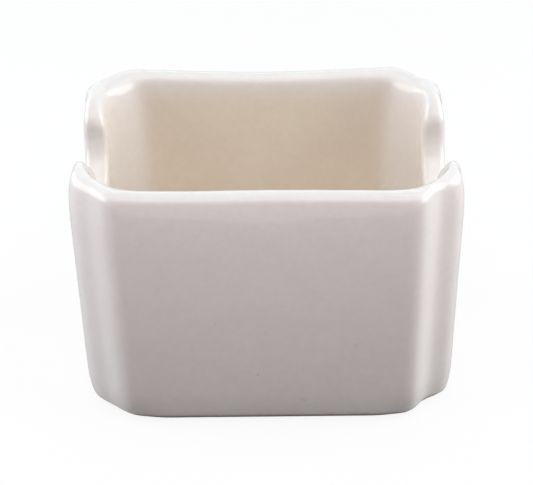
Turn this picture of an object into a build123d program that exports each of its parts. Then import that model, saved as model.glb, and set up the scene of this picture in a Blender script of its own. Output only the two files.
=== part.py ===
"""Sugar packet holder: an open, tapered china box with fluted corners and a notch in each end wall.

X runs along the length, Y across the width and Z up from the table. The origin is on the table, under the
middle of the box. The clay casting and its two coats of glaze are separate solids. Sizes are in millimetres.
"""

import os
from math import radians, tan

from build123d import *

# Outside, measured over the glaze, as if the walls ran straight up to the rim
RIM_LENGTH = 95.25
RIM_WIDTH = 69.85
HEIGHT = 66.2
DRAFT = 0.8

# Canted corners, each hollowed by a shallow flute from rim to foot
CANT_LENGTH = 10.9
CANT_WIDTH = 10.0
FLUTE_DEPTH = 1.2
CORNER_ROUND = 7.0
FLUTE_ROUND = 7.0

# Inside
WALL = 6.2
FLOOR = 6.0
CAVITY_DRAFT = 0.8
CAVITY_CORNER_ROUND = 6.0
FLOOR_ROUND = 4.5

# Lip, where both faces of the walls curve toward each other, up to a rim that is rounded right over
LIP_START = 53.0
LIP_OUTER = 0.8
LIP_INNER_SIDE = 0.4
LIP_INNER_END = 1.1
RIM_INNER_ROUND = 1.8
RIM_CREST = 0.1
RIM_OUTER_ROUND = WALL - LIP_OUTER - LIP_INNER_END - RIM_CREST - RIM_INNER_ROUND

# Finger notch in each end wall: rounded shoulders, straight flanks and a half-round bottom. The rounds of the
# shoulders start above the rim, so that they cross its crest at a slight angle
NOTCH_WIDTH = 23.9
NOTCH_SHOULDER = 7.5
NOTCH_RISE = 0.3
NOTCH_FLANK = 3.5
NOTCH_ROUND = 1.9

# Base edge and foot
BASE_ROUND = 2.4
FOOT_BAND = 4.0
FOOT_EDGE_ROUND = 0.6
RECESS_DEPTH = 1.2
RECESS_CORNER_ROUND = 4.0

# Glaze, wiped off below the glaze line
GLAZE = 0.3
GLAZE_LINE = 1.2


def round_the_plan(corner):
    """Points all round a plan outline, anticlockwise, from those of its corner at +X and +Y."""
    points = []
    for x_side, y_side, step in ((1, 1, 1), (-1, 1, -1), (-1, -1, 1), (1, -1, -1)):
        points += [(x_side * point.X, y_side * point.Y) for point in corner[::step]]
    return points


def cant():
    """Ends of the cant at +X and +Y, on the end wall and the long wall if it had no rounds, and its way inward."""
    on_end = Vector(RIM_LENGTH / 2, RIM_WIDTH / 2 - CANT_WIDTH)
    on_side = Vector(RIM_LENGTH / 2 - CANT_LENGTH, RIM_WIDTH / 2)
    inward = (on_side - on_end).normalized().rotate(Axis.Z, 90)
    return on_end, on_side, inward


def lip(height):
    """Share of the lip's curve at a height: none at its start and all at the rim."""
    return ((height - LIP_START) / (HEIGHT - LIP_START)) ** 2


def outside_plan(height, inset):
    """Outside of the box at a height, set in by inset."""
    on_end, on_side, inward = cant()
    flute = (on_end + on_side) / 2 + inward * FLUTE_DEPTH
    set_in = (HEIGHT - height) * tan(radians(DRAFT)) + LIP_OUTER * lip(height) + inset
    with BuildSketch() as plan:
        with BuildLine():
            FilletPolyline(
                *round_the_plan([on_end, flute, on_side]),
                radius=4 * [CORNER_ROUND, FLUTE_ROUND, CORNER_ROUND],
                close=True,
            )
        make_face()
        offset(amount=-set_in)
    return plan.sketch


def canted_plan(end_set_in, side_set_in, corner_round):
    """Rectangle with plain canted corners, set in from the walls and from the bottom of the flutes."""
    on_end, on_side, inward = cant()
    along = on_side - on_end
    start = on_end + inward * (FLUTE_DEPTH + side_set_in)
    to_end = (RIM_LENGTH / 2 - end_set_in - start.X) / along.X
    to_side = (RIM_WIDTH / 2 - side_set_in - start.Y) / along.Y
    with BuildSketch() as plan:
        with BuildLine():
            Polyline(*round_the_plan([start + along * to_end, start + along * to_side]), close=True)
        make_face()
        fillet(plan.vertices(), corner_round)
    return plan.sketch


def cavity_plan(height, inset):
    """Inside of the box at a height, grown by inset."""
    draft_in = (HEIGHT - height) * tan(radians(CAVITY_DRAFT)) - inset
    end_set_in = WALL + draft_in - LIP_INNER_END * lip(height)
    side_set_in = WALL + draft_in - LIP_INNER_SIDE * lip(height)
    return canted_plan(end_set_in, side_set_in, CAVITY_CORNER_ROUND - draft_in)


def notch_plan(inset):
    """Notch seen along the length, across the width and up from the table, grown by inset."""
    half_width = NOTCH_WIDTH / 2 + inset
    shoulder = NOTCH_SHOULDER - inset
    top = HEIGHT + NOTCH_RISE - inset
    top_end = (half_width + shoulder, top)
    with BuildSketch() as plan:
        with BuildLine():
            Line((0, top), top_end)
            flare = JernArc(top_end, (-1, 0), shoulder, 90)
            flank = Line(flare @ 1, flare @ 1 - (0, NOTCH_FLANK))
            JernArc(flank @ 1, (0, -1), half_width, -90)
            mirror(about=Plane.YZ)
        make_face()
    return plan.sketch


def taper(block, angle):
    """Draft the upright faces of a straight block, which keeps its size at the top."""
    top = block.faces().sort_by(Axis.Z)[-1]
    draft(block.faces().filter_by(Axis.Z, reverse=True), Plane(top), -angle)


def walled(plan, bottom, bottom_round, angle, inset):
    """Block with drafted sides and a rounded bottom edge, and the lip on top of it."""
    top = HEIGHT - inset
    with BuildPart() as block:
        with BuildSketch(Plane.XY.offset(LIP_START)):
            add(plan(LIP_START, inset))
        extrude(amount=bottom - LIP_START)
        taper(block, angle)
        fillet(block.faces().sort_by(Axis.Z)[0].edges(), bottom_round)
        for height in (LIP_START, (LIP_START + top) / 2, top):
            with BuildSketch(Plane.XY.offset(height)):
                add(plan(height, inset))
        loft()
    return block.part


def rim_face(box):
    """The flat top of the box, all round."""
    return box.faces().sort_by(Axis.Z)[-1]


def holder(inset):
    """The whole box: walls, floor, rim and notches, with every glazed face set in by inset."""
    with BuildPart() as box:
        add(walled(outside_plan, 0, BASE_ROUND, DRAFT, inset))
        add(walled(cavity_plan, FLOOR - inset, FLOOR_ROUND + inset, CAVITY_DRAFT, inset), mode=Mode.SUBTRACT)
        fillet(rim_face(box).outer_wire().edges(), RIM_OUTER_ROUND - inset)
        fillet(rim_face(box).inner_wires().edges(), RIM_INNER_ROUND - inset)
        with BuildSketch(Plane.YZ):
            add(notch_plan(inset))
        extrude(amount=RIM_LENGTH, both=True, mode=Mode.SUBTRACT)
        notch_reach = NOTCH_WIDTH / 2 + NOTCH_SHOULDER
        notch_edges = box.edges(Select.LAST).filter_by_position(Axis.Y, -notch_reach, notch_reach)
        fillet(notch_edges.filter_by(Axis.X, reverse=True), NOTCH_ROUND - inset)
    return box.part


def recess_plan():
    """Recess under the base, inside the foot ring."""
    set_in = HEIGHT * tan(radians(DRAFT)) + BASE_ROUND + FOOT_BAND
    return canted_plan(set_in, set_in, RECESS_CORNER_ROUND)


os.makedirs("parts", exist_ok=True)

# Clay casting, with a bare foot ring round a shallow recess
with BuildPart() as china_body:
    add(holder(GLAZE))
    with BuildSketch():
        add(recess_plan())
    extrude(amount=RECESS_DEPTH + GLAZE, mode=Mode.SUBTRACT)
    fillet(china_body.edges(Select.LAST).group_by(Axis.Z)[0], FOOT_EDGE_ROUND)

china_body.part.label = "china_body"
export_step(china_body.part, "parts/china_body.step")

# Glaze over the outside, the rim, the notches and the inside
with BuildPart() as wall_glaze:
    add(holder(0))
    add(holder(GLAZE), mode=Mode.SUBTRACT)
    split(bisect_by=Plane.XY.offset(GLAZE_LINE), keep=Keep.TOP)

wall_glaze.part.label = "wall_glaze"
export_step(wall_glaze.part, "parts/wall_glaze.step")

# Glaze in the recess under the base
with BuildPart() as base_glaze:
    with BuildSketch(Plane.XY.offset(RECESS_DEPTH)):
        add(recess_plan())
    extrude(amount=GLAZE)

base_glaze.part.label = "base_glaze"
export_step(base_glaze.part, "parts/base_glaze.step")
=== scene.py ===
"""Looks of the sugar packet holder: fired clay under a glossy warm white glaze, on a pale floor.

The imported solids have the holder's design. The pieces made here follow them and add what the kiln did to
this one: walls that lean and bow, a rim that sags and thins beside the notches, notch bottoms that came
out higher, a base that is drawn in and rounder at its corners, and an uneven coat of glaze. Sizes are in
metres.
"""

import math

import bmesh
import bpy
import numpy as np
from mathutils import Matrix, Vector
from mathutils.bvhtree import BVHTree


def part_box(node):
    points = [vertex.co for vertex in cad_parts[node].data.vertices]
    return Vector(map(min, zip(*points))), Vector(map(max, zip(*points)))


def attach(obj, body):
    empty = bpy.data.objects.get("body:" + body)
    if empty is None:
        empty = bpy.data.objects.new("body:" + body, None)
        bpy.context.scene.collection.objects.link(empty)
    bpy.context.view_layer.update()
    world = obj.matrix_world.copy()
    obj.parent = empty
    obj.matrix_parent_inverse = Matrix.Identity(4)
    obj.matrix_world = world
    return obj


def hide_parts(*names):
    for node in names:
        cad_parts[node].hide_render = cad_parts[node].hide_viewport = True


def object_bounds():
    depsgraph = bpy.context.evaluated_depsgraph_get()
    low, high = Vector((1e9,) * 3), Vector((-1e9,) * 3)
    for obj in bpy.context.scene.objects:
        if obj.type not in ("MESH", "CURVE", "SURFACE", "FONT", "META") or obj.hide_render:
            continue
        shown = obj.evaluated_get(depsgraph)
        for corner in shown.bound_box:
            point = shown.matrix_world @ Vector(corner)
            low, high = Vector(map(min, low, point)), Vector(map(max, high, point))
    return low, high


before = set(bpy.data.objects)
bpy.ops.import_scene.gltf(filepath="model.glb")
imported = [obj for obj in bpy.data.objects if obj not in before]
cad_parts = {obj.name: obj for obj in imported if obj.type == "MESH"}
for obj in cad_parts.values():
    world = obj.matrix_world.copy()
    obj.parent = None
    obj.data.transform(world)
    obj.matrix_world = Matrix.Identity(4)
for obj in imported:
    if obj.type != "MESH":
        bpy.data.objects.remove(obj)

CAD_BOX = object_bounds()
MM = 0.001

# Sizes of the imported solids
RIM_LENGTH = CAD_BOX[1].x - CAD_BOX[0].x
RIM_WIDTH = CAD_BOX[1].y - CAD_BOX[0].y
RIM_HEIGHT = CAD_BOX[1].z
GLAZE_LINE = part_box("wall_glaze")[0].z
GLAZE = RIM_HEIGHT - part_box("china_body")[1].z
CANT_LENGTH = 10.9 * MM
CANT_WIDTH = 10.0 * MM

# Mesh
VOXEL = 0.6 * MM
SMOOTHING_STEPS = 4
SMOOTHING_FACTOR = 0.5
WELD = 0.001 * MM

# What the kiln did to the walls, as moves at the rim, or for the spread of the ends, from foot to rim. Four
# values are for the quarters of the plan: near left, near right, far left and far right
BEND_POWER = 1.6
LEAN = 1.04 * MM
SPREAD = 0.58 * MM
SIDE_BOW = 1.43 * MM
SIDE_SAG = 0.38 * MM
END_BOWS = (0.7 * MM, -0.3 * MM, 1.3 * MM, 1.25 * MM)
CORNER_LIFT = 0.7 * MM

# Where those moves fade out or change sides, from the middle of the plan. The lifted corner is the near
# left one
SIDE_REACH = RIM_LENGTH / 2 - 7 * MM
END_REACH = (16.4 * MM, 32.4 * MM)
LIFT_LEFT = (15 * MM, 40 * MM)
LIFT_NEAR = (5 * MM, 15 * MM)
MIDDLE = (25 * MM, 20 * MM)
QUARTER_BLEND = 10 * MM

# Walls beside the notches, which thin toward the rim, and where the end walls start
THINNING_INSIDE = (0.9 * MM, 1.2 * MM, 0.3 * MM, 0.3 * MM)
THINNING_OUTSIDE = (0.9 * MM, 1.2 * MM, 0.2 * MM, 0.6 * MM)
THINNING_DEPTH = 9.0 * MM
END_WALL = (36 * MM, 39 * MM)

# Corner flutes, which came out deeper or filled in, by the same quarters, and the skin that this moves, as
# places out from the cant
FLUTE_MOVES = (-0.5 * MM, 0.74 * MM, -1.0 * MM, 0.0)
FLUTE_HALF_WIDTH = 7.4 * MM
FLUTE_SKIN = (-4.5 * MM, -2.5 * MM)

# Notches, whose round bottoms came out higher: by how much, the heights over which that comes and goes, and
# how far it reaches across the width
NOTCH_RAISE = 2.2 * MM
NOTCH_RAISE_COMES = (15 * MM, 40 * MM)
NOTCH_RAISE_GOES = (65 * MM, 53 * MM)
NOTCH_REACH = (22 * MM, 14 * MM)

# Base, whose outer skin is drawn in toward the foot, and where that skin ends, in from the outside
BASE_TUCK = 0.6 * MM
BASE_TUCK_HEIGHT = 9 * MM
OUTER_SKIN = (5.0 * MM, 3.5 * MM)

# Corners of the base, which are rounder in plan than those of the rim: where each lies, the way that it
# moves in, halfway between the faces beside it, how far, and the reach of that along the base and up from it
BASE_CORNERS = (
    (RIM_LENGTH / 2 - CANT_LENGTH, RIM_WIDTH / 2, (0.363, 0.932), 1.3 * MM),
    (RIM_LENGTH / 2, RIM_WIDTH / 2 - CANT_WIDTH, (0.915, 0.402), 0.7 * MM),
)
BASE_CORNER_REACH = 11 * MM
BASE_CORNER_HEIGHT = 10 * MM

# Inner edge of the rim, which the glaze rounded more: where it lies, in from the outside and by height,
# where a corner starts, by how much nearer its cant is than the walls, and the walls' share of the rounding
RIM_EDGE_FROM = (2.8 * MM, 4.2 * MM)
RIM_EDGE_HEIGHTS = (RIM_HEIGHT - 9 * MM, RIM_HEIGHT - 3 * MM)
RIM_EDGE_CORNER = (-1.5 * MM, 1.5 * MM)
RIM_EDGE_STEPS = 80
RIM_EDGE_ON_WALLS = 0.3

# Painted warm shade inside the cavity, where the glaze is coloured darker and warmer: where it starts, in
# from the outside and down from the rim, and how much of it is lost toward the ends
PAINTED_SHADE_FROM = (3.5 * MM, 5.5 * MM)
PAINTED_SHADE_DEPTH = (1.0 * MM, 9.0 * MM)
PAINTED_SHADE_ENDS = (27 * MM, 36 * MM)
PAINTED_SHADE_END_LOSS = 0.7

# Glaze: colours, blotches as sizes and strengths, fine specks, a few larger pinholes, each with a radius
# and a strength, its gloss, and the waves of its surface as sizes and heights
GLAZE_OUTSIDE = (0.90, 0.84, 0.815, 1)
# Colour of the glaze deep in the cavity, darker and warmer: painted shade
GLAZE_PAINTED_SHADE = (0.875, 0.775, 0.66, 1)
BLOTCHES = ((9 * MM, 0.4), (1.6 * MM, 0.5))
BLOTCH_EDGE = (0.35, 0.65)
BLOTCH_COLOUR = (0.96, 0.95, 0.945, 1)
SPECK_SPACING = 14 * MM
SPECK_RADIUS = 0.22 * MM
SPECK_STRENGTH = 0.5
SPECK_COLOUR = (0.32, 0.25, 0.20, 1)
PINHOLES = (
    ((-44.9 * MM, 11.5 * MM, 59.1 * MM), 0.7 * MM, 0.2),
    ((42.1 * MM, 11.3 * MM, 55.9 * MM), 0.5 * MM, 0.12),
    ((-3.2 * MM, -34.1 * MM, 15.2 * MM), 0.35 * MM, 0.3),
    ((-26.8 * MM, -34.4 * MM, 41.3 * MM), 0.3 * MM, 0.15),
    ((-13.3 * MM, -34.1 * MM, 30.6 * MM), 0.3 * MM, 0.15),
    ((28.7 * MM, -34.4 * MM, 40.8 * MM), 0.3 * MM, 0.15),
    ((21.0 * MM, -34.2 * MM, 24.2 * MM), 0.7 * MM, 0.1),
    ((8.3 * MM, -34.1 * MM, 7.2 * MM), 1.0 * MM, 0.1),
)
GLAZE_IOR = 1.5
GLAZE_ROUGHNESS = (0.05, 0.09)
GLOSS_PATCH = 6 * MM
GLOSS_PATCH_EDGE = (0.3, 0.7)
GLAZE_WAVES = ((16 * MM, 0.02 * MM), (1.2 * MM, 0.002 * MM))

# Clay: colours of its grain, its stains, and the roughness of its surface, with sizes and heights
CLAY_LIGHT = (0.80, 0.75, 0.67, 1)
CLAY_DARK = (0.70, 0.645, 0.56, 1)
CLAY_FLECK = 0.5 * MM
STAIN_COLOUR = (0.62, 0.55, 0.47, 1)
STAIN_SIZE = 9 * MM
STAIN_EDGE = (0.45, 0.7)
STAIN_STRENGTH = 0.5
CLAY_ROUGHNESS = 0.85
CLAY_GRAIN = ((0.4 * MM, 0.03 * MM), (2 * MM, 0.05 * MM))

# Floor and world, which look white, and how strongly they show in gloss
FLOOR_SIZE = 6
FLOOR_COLOUR = (0.12, 0.115, 0.118, 1)
FLOOR_GLOW = (0.88, 0.88, 0.88, 1)
FLOOR_ROUGHNESS = 0.9
FLOOR_IN_GLOSS = 0.5
WORLD_DIM = (0.01, 0.01, 0.01, 1)
WORLD_WHITE = (1, 1, 1, 1)
WORLD_IN_GLOSS = 1.0

# Lamps: place, the point that each faces, size, power in watts and colour
HOLDER = (0, 0, RIM_HEIGHT / 2)
LAMPS = {
    "overhead": ((0, 0.06, 0.5), HOLDER, (1.0, 0.45), 1.42, (0.78, 0.935, 1)),
    "left": ((-0.55, -0.04, 0.2), HOLDER, (0.6, 0.5), 2.95, (0.94, 0.965, 1)),
    "right": ((0.55, -0.04, 0.2), HOLDER, (0.6, 0.5), 3.55, (0.955, 0.985, 1)),
    "left back": ((-0.5, 0.3, 0.16), HOLDER, (0.5, 0.3), 0.6, (0.73, 0.9, 1)),
    "above camera": ((0, -0.42, 0.55), HOLDER, (0.7, 0.35), 1.33, (1, 0.91, 0.87)),
    "back": ((0, 0.6, 0.35), HOLDER, (0.6, 0.4), 0.55, (0.855, 0.95, 1)),
    "panel on the floor": ((0, -0.345, 0.004), (0, -0.345, 1), (0.8, 0.36), 1.03, (1, 0.88, 0.95)),
}

# Photograph and the camera that took it
PHOTO_WIDTH = 533
CAMERA_ELEVATION = math.radians(32.794)
CAMERA_TURN = math.radians(-0.491)
CAMERA_ROLL = math.radians(0.29)
CAMERA_DISTANCE = 418.52 * MM
CAMERA_TARGET = Vector((0, 0, 33.05 * MM))
FOCAL_PIXELS = 1612.5
CENTRE_RIGHT_PIXELS = 2.35
CENTRE_UP_PIXELS = 3.07


def ramp(values, start, end):
    """Smooth step from 0 at start to 1 at end."""
    step = np.clip((values - start) / (end - start), 0, 1)
    return step * step * (3 - 2 * step)


def hump(values, reach):
    """Smooth hump that is 1 at 0 and falls to 0 at reach, to either side."""
    return 0.5 + 0.5 * np.cos(np.pi * np.clip(values / reach, -1, 1))


def falloff(distances, reach):
    """1 at no distance and 0 from reach on, falling fast at first and then slowly."""
    return np.clip(1 - distances / reach, 0, 1) ** 2


def by_quarter(x, y, quarters):
    """A value for each point from those of the four quarters of the plan, which blend where they meet."""
    near_left, near_right, far_left, far_right = quarters
    right = ramp(x, -QUARTER_BLEND, QUARTER_BLEND)
    far = ramp(y, -QUARTER_BLEND, QUARTER_BLEND)
    near_value = near_left + (near_right - near_left) * right
    far_value = far_left + (far_right - far_left) * right
    return near_value + (far_value - near_value) * far


def on_cant(x, y):
    """How far points lie out from the nearest corner's cant and along it, and the way out."""
    cant = np.array((CANT_LENGTH, CANT_WIDTH))
    middle = np.array((RIM_LENGTH, RIM_WIDTH)) / 2 - cant / 2
    outward = cant[::-1] / np.linalg.norm(cant)
    from_middle = np.column_stack((np.abs(x), np.abs(y))) - middle
    across = from_middle @ outward
    along = from_middle @ np.array((-outward[1], outward[0]))
    return across, along, outward


def flute_moves(x, y):
    """How far points of the corners' outer skin move in, across the cant."""
    across, along, outward = on_cant(x, y)
    moves = by_quarter(x, y, FLUTE_MOVES) * hump(along, FLUTE_HALF_WIDTH) * ramp(across, *FLUTE_SKIN)
    return moves[:, None] * outward


def from_walls(x, y):
    """How far in points lie from the nearest wall, at the rim's size."""
    return np.minimum(RIM_LENGTH / 2 - np.abs(x), RIM_WIDTH / 2 - np.abs(y))


def from_outside(x, y):
    """How far in points lie from the nearest of the walls and corners, at the rim's size."""
    return np.minimum(from_walls(x, y), -on_cant(x, y)[0])


def painted_shade_share(points):
    """How much painted warm shade the glaze takes at points of the designed shape: 0 outside and at the rim,
    and 1 deep inside.
    """
    x, y, z = points.T
    between_ends = 1 - PAINTED_SHADE_END_LOSS * ramp(np.abs(x), *PAINTED_SHADE_ENDS)
    return ramp(from_outside(x, y), *PAINTED_SHADE_FROM) * ramp(RIM_HEIGHT - z, *PAINTED_SHADE_DEPTH) * between_ends


def round_rim_edge(points, edges):
    """Round the rim's inner edge more: its points move toward the middle of their neighbours, in steps."""
    x, y, z = points.T
    corner = ramp(from_walls(x, y) + on_cant(x, y)[0], *RIM_EDGE_CORNER)
    share = RIM_EDGE_ON_WALLS + (1 - RIM_EDGE_ON_WALLS) * corner
    share = share * ramp(from_outside(x, y), *RIM_EDGE_FROM) * ramp(z, *RIM_EDGE_HEIGHTS) / 2
    first, second = edges.T
    count = len(points)
    neighbours = np.bincount(edges.ravel(), minlength=count)
    rounded = points.copy()
    for _ in range(RIM_EDGE_STEPS):
        for axis in range(3):
            line = rounded[:, axis].copy()
            total = np.bincount(first, line[second], count) + np.bincount(second, line[first], count)
            rounded[:, axis] += share * (total / neighbours - line)
    return rounded


def base_corner_moves(x, y, z):
    """How far points near the corners of the base move in."""
    low = falloff(z, BASE_CORNER_HEIGHT)
    moves = np.zeros((len(x), 2))
    for corner_x, corner_y, way_in, distance in BASE_CORNERS:
        away = np.hypot(np.abs(x) - corner_x, np.abs(y) - corner_y)
        moves += (distance * low * ramp(away, BASE_CORNER_REACH, 0))[:, None] * np.array(way_in)
    return moves


def fired(points, normals):
    """Where the kiln left points of the designed shape, from their places and the ways that they face."""
    x, y, z = points.T
    rise = np.clip(z / RIM_HEIGHT, 0, 1)
    bent = rise**BEND_POWER
    side_x = np.clip(x / MIDDLE[0], -1, 1)
    side_y = np.clip(y / MIDDLE[1], -1, 1)
    on_side = hump(x, SIDE_REACH)
    on_end = 1 - ramp(np.abs(y), *END_REACH)
    in_end_wall = ramp(np.abs(x), *END_WALL)

    inside = by_quarter(x, y, THINNING_INSIDE)
    outside = by_quarter(x, y, THINNING_OUTSIDE)
    thinning = np.where(normals[:, 0] * x > 0, outside, inside)
    thinning = thinning * falloff(RIM_HEIGHT - z, THINNING_DEPTH) * on_end * in_end_wall
    tuck = BASE_TUCK * falloff(z, BASE_TUCK_HEIGHT) * ramp(from_outside(x, y), *OUTER_SKIN)
    corners = flute_moves(x, y) + base_corner_moves(x, y, z)
    at_notch = ramp(np.abs(y), *NOTCH_REACH) * in_end_wall
    notch_raise = NOTCH_RAISE * ramp(z, *NOTCH_RAISE_COMES) * ramp(z, *NOTCH_RAISE_GOES) * at_notch
    lift = CORNER_LIFT * ramp(-x, *LIFT_LEFT) * ramp(-y, *LIFT_NEAR)

    end_bow = by_quarter(x, y, END_BOWS) * on_end * bent
    new_x = x - LEAN * rise + side_x * (SPREAD * (rise - 0.5) - end_bow)
    new_y = y - side_y * SIDE_BOW * on_side * bent
    new_z = z + (lift - np.abs(side_y) * SIDE_SAG * on_side) * bent + notch_raise
    new_x = new_x - normals[:, 0] * (thinning + tuck) - np.sign(x) * corners[:, 0]
    new_y = new_y - normals[:, 1] * (thinning + tuck) - np.sign(y) * corners[:, 1]
    return np.column_stack((new_x, new_y, new_z))


def new_object(name, data):
    """An object of this mesh, lamp or camera in the scene."""
    thing = bpy.data.objects.new(name, data)
    bpy.context.scene.collection.objects.link(thing)
    return thing


def evaluated_mesh(piece):
    """The mesh of a piece with its modifiers applied."""
    depsgraph = bpy.context.evaluated_depsgraph_get()
    return bpy.data.meshes.new_from_object(piece.evaluated_get(depsgraph))


def evenly_meshed(name, source):
    """A new mesh over a closed source mesh, in small even quads that can bend anywhere."""
    piece = new_object(name, source)
    remesh = piece.modifiers.new("even quads", "REMESH")
    remesh.mode = "VOXEL"
    remesh.voxel_size = VOXEL
    smooth = piece.modifiers.new("smooth", "SMOOTH")
    smooth.factor = SMOOTHING_FACTOR
    smooth.iterations = SMOOTHING_STEPS
    mesh = evaluated_mesh(piece)
    bpy.data.objects.remove(piece)
    mesh.name = name
    return mesh


def bend(mesh):
    """Move the points of a mesh to where the kiln left them, and mark on each how far inside it is, as its
    share of painted warm shade.
    """
    points = np.empty(len(mesh.vertices) * 3)
    normals = np.empty(len(mesh.vertices) * 3)
    edges = np.empty(len(mesh.edges) * 2, np.int32)
    mesh.vertices.foreach_get("co", points)
    mesh.vertex_normals.foreach_get("vector", normals)
    mesh.edges.foreach_get("vertices", edges)
    points = round_rim_edge(points.reshape(-1, 3), edges.reshape(-1, 2))
    # The 'inside' attribute is each point's share of painted warm shade in the cavity
    mesh.attributes.new("inside", "FLOAT", "POINT").data.foreach_set("value", painted_shade_share(points))
    mesh.vertices.foreach_set("co", fired(points, normals.reshape(-1, 3)).ravel())
    mesh.update()
    mesh.shade_smooth()


def outer_skin():
    """Closed mesh of the glaze's outer face, with a flat bottom at the glaze line."""
    skin = bmesh.new()
    skin.from_mesh(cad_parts["china_body"].data)
    under_glaze = BVHTree.FromBMesh(skin)
    skin.clear()
    skin.from_mesh(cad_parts["wall_glaze"].data)
    bmesh.ops.remove_doubles(skin, verts=skin.verts, dist=WELD)
    line = GLAZE_LINE + GLAZE / 10

    def is_inner(face):
        """Whether a face lies on the glaze line or against the clay."""
        if all(corner.co.z < line for corner in face.verts):
            return True
        return under_glaze.find_nearest(face.calc_center_median())[3] < GLAZE / 2

    inner = [face for face in skin.faces if is_inner(face)]
    bmesh.ops.delete(skin, geom=inner, context="FACES")
    open_edges = [edge for edge in skin.edges if edge.is_boundary]
    bmesh.ops.contextual_create(skin, geom=open_edges)
    bmesh.ops.recalc_face_normals(skin, faces=skin.faces)
    mesh = bpy.data.meshes.new("outer_skin")
    skin.to_mesh(mesh)
    skin.free()
    return mesh


def glaze_coat():
    """The coat of glaze over the outside, the rim, the notches and the inside, open under the glaze line."""
    mesh = evenly_meshed("glaze_coat", outer_skin())
    coat = bmesh.new()
    coat.from_mesh(mesh)
    cut = Vector((0, 0, GLAZE_LINE + VOXEL))
    everything = coat.verts[:] + coat.edges[:] + coat.faces[:]
    bmesh.ops.bisect_plane(coat, geom=everything, plane_co=cut, plane_no=(0, 0, 1), clear_inner=True)
    coat.to_mesh(mesh)
    coat.free()
    bend(mesh)
    piece = new_object("glaze_coat", mesh)
    thickness = piece.modifiers.new("coat thickness", "SOLIDIFY")
    thickness.thickness = GLAZE
    thickness.offset = -1
    return piece


def clay_casting():
    """The clay casting under the glaze, whose foot ring is bare."""
    mesh = evenly_meshed("clay_casting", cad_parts["china_body"].data.copy())
    bend(mesh)
    return new_object("clay_casting", mesh)


def new_node(tree, kind, inputs, **settings):
    """A shader node with these settings. Its inputs are values, or links to other nodes' sockets."""
    node = tree.nodes.new("ShaderNode" + kind)
    for name, value in settings.items():
        setattr(node, name, value)
    for name, value in inputs.items():
        if isinstance(value, bpy.types.NodeSocket):
            tree.links.new(value, node.inputs[name])
        else:
            node.inputs[name].default_value = value
    return node


def calculated(tree, operation, first, second):
    """Socket of an operation's result on two values."""
    return new_node(tree, "Math", {0: first, 1: second}, operation=operation).outputs["Value"]


def noise(tree, place, size, detail):
    """Socket of soft random values about 0.5, in blotches of about this size in metres."""
    return new_node(tree, "TexNoise", {"Vector": place, "Scale": 1 / size, "Detail": detail}).outputs["Fac"]


def fade(tree, value, start, end, low, high):
    """Socket that goes smoothly from low to high as a value goes from start to end."""
    limits = {"Value": value, "From Min": start, "From Max": end, "To Min": low, "To Max": high}
    return new_node(tree, "MapRange", limits, interpolation_type="SMOOTHSTEP").outputs["Result"]


def mixed(tree, share, first, second, blend="MIX"):
    """Socket of the first colour, with a share of the second mixed in."""
    inputs = {"Factor": share, "A": first, "B": second}
    return new_node(tree, "Mix", inputs, data_type="RGBA", blend_type=blend).outputs["Result"]


def new_material(name):
    """A material, with its node tree and its shader."""
    material = bpy.data.materials.new(name)
    material.use_nodes = True
    tree = material.node_tree
    return material, tree, tree.nodes["Principled BSDF"]


def places(tree):
    """Socket of places on the object."""
    return new_node(tree, "TexCoord", {}).outputs["Object"]


def uneven(tree, shader, place, layers):
    """Roughen a shader's surface with layers of noise, each a size and a height in metres."""
    surface = None
    for size, height in layers:
        inputs = {"Height": noise(tree, place, size, detail=1), "Distance": height}
        if surface:
            inputs["Normal"] = surface
        surface = new_node(tree, "Bump", inputs).outputs["Normal"]
    tree.links.new(surface, shader.inputs["Normal"])


def specks(tree, place):
    """Socket of how much of the specks' colour shows: one round speck of some size in each cell."""
    cells = new_node(tree, "TexVoronoi", {"Vector": place, "Scale": 1 / SPECK_SPACING}).outputs
    any_value = new_node(tree, "SeparateColor", {"Color": cells["Color"]}).outputs["Red"]
    largest = SPECK_RADIUS / SPECK_SPACING
    radius = fade(tree, any_value, 0, 1, 0, largest)
    beyond = calculated(tree, "SUBTRACT", cells["Distance"], radius)
    return fade(tree, beyond, -largest / 3, largest / 3, SPECK_STRENGTH, 0)


def glaze_material():
    """Glossy warm white glaze, with painted warm shade deep inside, faint blotches, fine specks and a few
    pinholes.
    """
    material, tree, shader = new_material("warm white glaze")
    place = places(tree)
    # Painted warm shade: the glaze turns darker and warmer by the 'inside' share
    inside = new_node(tree, "Attribute", {}, attribute_name="inside").outputs["Fac"]
    colour = mixed(tree, inside, GLAZE_OUTSIDE, GLAZE_PAINTED_SHADE)
    for size, strength in BLOTCHES:
        blotch = fade(tree, noise(tree, place, size, detail=3), *BLOTCH_EDGE, 0, strength)
        colour = mixed(tree, blotch, colour, BLOTCH_COLOUR, "MULTIPLY")
    colour = mixed(tree, specks(tree, place), colour, SPECK_COLOUR)
    for spot, radius, strength in PINHOLES:
        away = new_node(tree, "VectorMath", {0: place, 1: spot}, operation="DISTANCE").outputs["Value"]
        hole = fade(tree, away, radius / 2, radius, strength, 0)
        colour = mixed(tree, hole, colour, SPECK_COLOUR)
    tree.links.new(colour, shader.inputs["Base Color"])
    patches = noise(tree, place, GLOSS_PATCH, detail=2)
    roughness = fade(tree, patches, *GLOSS_PATCH_EDGE, *GLAZE_ROUGHNESS)
    tree.links.new(roughness, shader.inputs["Roughness"])
    shader.inputs["IOR"].default_value = GLAZE_IOR
    uneven(tree, shader, place, GLAZE_WAVES)
    return material


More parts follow.
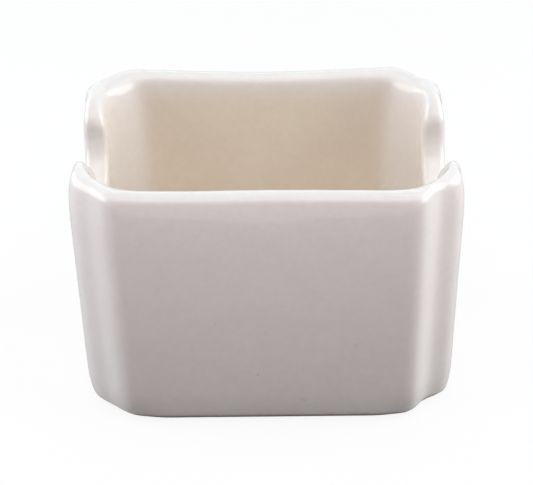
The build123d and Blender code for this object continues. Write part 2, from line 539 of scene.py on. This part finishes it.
def clay_material():
    """Dry fired clay, with grain and stains."""
    material, tree, shader = new_material("fired clay")
    place = places(tree)
    colour = mixed(tree, noise(tree, place, CLAY_FLECK, detail=3), CLAY_LIGHT, CLAY_DARK)
    stain = fade(tree, noise(tree, place, STAIN_SIZE, detail=3), *STAIN_EDGE, 0, STAIN_STRENGTH)
    colour = mixed(tree, stain, colour, STAIN_COLOUR)
    tree.links.new(colour, shader.inputs["Base Color"])
    shader.inputs["Roughness"].default_value = CLAY_ROUGHNESS
    uneven(tree, shader, place, CLAY_GRAIN)
    return material


def wear(piece, material):
    """Give a piece this material alone."""
    piece.data.materials.clear()
    piece.data.materials.append(material)


def seen_directly(tree, in_gloss):
    """Socket that is 1 for camera and glass rays, in_gloss for mirror rays, and 0 for scattered light."""
    path = new_node(tree, "LightPath", {}).outputs
    gloss = calculated(tree, "MULTIPLY", path["Is Glossy Ray"], in_gloss)
    either = calculated(tree, "MAXIMUM", path["Is Camera Ray"], gloss)
    return calculated(tree, "MAXIMUM", either, path["Is Transmission Ray"])


def floor():
    """Plain pale floor that looks white where it is lit and keeps the shadow."""
    bpy.ops.mesh.primitive_plane_add(size=FLOOR_SIZE)
    ground = bpy.context.object
    ground.name = "floor"
    material, tree, shader = new_material("pale floor")
    shader.inputs["Base Color"].default_value = FLOOR_COLOUR
    shader.inputs["Roughness"].default_value = FLOOR_ROUGHNESS
    shader.inputs["Specular IOR Level"].default_value = 0
    shader.inputs["Emission Color"].default_value = FLOOR_GLOW
    tree.links.new(seen_directly(tree, FLOOR_IN_GLOSS), shader.inputs["Emission Strength"])
    wear(ground, material)


def softbox(name, place, aim, size, power, colour):
    """A rectangular lamp at a place, facing a point."""
    data = bpy.data.lights.new(name, "AREA")
    data.shape = "RECTANGLE"
    data.size, data.size_y = size
    data.energy = power
    data.color = colour
    lamp = new_object(name, data)
    lamp.location = place
    lamp.rotation_euler = (Vector(place) - Vector(aim)).to_track_quat("Z", "Y").to_euler()


def lights():
    """Soft studio light from all round and from the floor in front. The world is dim but looks white."""
    for name, settings in LAMPS.items():
        softbox(name, *settings)
    world = bpy.data.worlds.new("studio")
    bpy.context.scene.world = world
    world.use_nodes = True
    tree = world.node_tree
    colour = mixed(tree, seen_directly(tree, WORLD_IN_GLOSS), WORLD_DIM, WORLD_WHITE)
    tree.links.new(colour, tree.nodes["Background"].inputs["Color"])


def camera():
    """The photograph's camera."""
    elevation, turn = CAMERA_ELEVATION, CAMERA_TURN
    back = Vector((
        math.sin(turn) * math.cos(elevation),
        -math.cos(turn) * math.cos(elevation),
        math.sin(elevation),
    ))
    right = Vector((math.cos(turn), math.sin(turn), 0))
    axes = Matrix((right, back.cross(right), back)).transposed()
    view = new_object("camera", bpy.data.cameras.new("camera"))
    pose = Matrix.Translation(CAMERA_TARGET + back * CAMERA_DISTANCE) @ axes.to_4x4()
    view.matrix_world = pose @ Matrix.Rotation(-CAMERA_ROLL, 4, "Z")
    view.data.lens = FOCAL_PIXELS * view.data.sensor_width / PHOTO_WIDTH
    view.data.shift_x = -CENTRE_RIGHT_PIXELS / PHOTO_WIDTH
    view.data.shift_y = -CENTRE_UP_PIXELS / PHOTO_WIDTH
    bpy.context.scene.camera = view


glaze = glaze_material()
clay = clay_material()

coat = glaze_coat()
wear(coat, glaze)
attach(coat, "root")
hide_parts("wall_glaze")

casting = clay_casting()
wear(casting, clay)
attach(casting, "root")
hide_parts("china_body")

wear(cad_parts["base_glaze"], glaze)

floor()
lights()
camera()
bpy.context.scene.view_settings.view_transform = "Standard"
